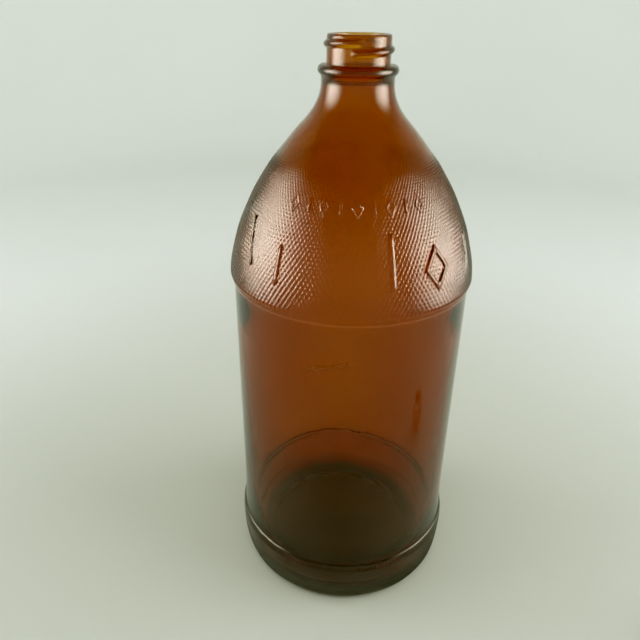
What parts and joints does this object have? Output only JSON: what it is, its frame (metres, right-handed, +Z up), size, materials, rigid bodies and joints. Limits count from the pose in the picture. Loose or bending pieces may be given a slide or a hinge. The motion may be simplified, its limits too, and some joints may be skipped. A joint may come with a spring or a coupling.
{
  "type": "screw-top household liquid bottle",
  "caption": "Round amber glass quart bottle with stippled cone shoulder, recessed label panel, heel band and screw finish, with its ribbed lined screw cap set down beside it",
  "frame": {"origin": "on the bottle's axis at the surface that it stands on", "axes": "+Z up along the bottle's axis, -Y towards the side with the raised marks, +X to the right seen from there, where the cap lies"},
  "size_m": [0.2185, 0.1205, 0.222],
  "materials": {
    "amber_glass": "clear moulded amber glass, stippled on the shoulder and heel, with light scuffs",
    "white_urea": "moulded ivory-white urea plastic, satin from handling",
    "pulpboard": "matt grey-brown pulpboard",
    "coated_paper": "off-white waxed paper with a ring mark from the rim"
  },
  "bodies": {
    "bottle": {"glass_bottle": "amber_glass"},
    "liner": {"liner_backing": "pulpboard", "liner_facing": "coated_paper"},
    "cap": {"cap_shell": "white_urea"}
  },
  "joints": [
    {"name": "cap_lift", "type": "slide", "parent": "bottle", "child": "liner", "axis": [0, 0, 1], "range_m": [0, 0.24]},
    {"name": "cap_turn", "type": "hinge", "parent": "liner", "child": "cap", "pos_m": [0.158, -0.06, 0], "axis": [0, 0, 1], "range_deg": [0, 390]}
  ]
}
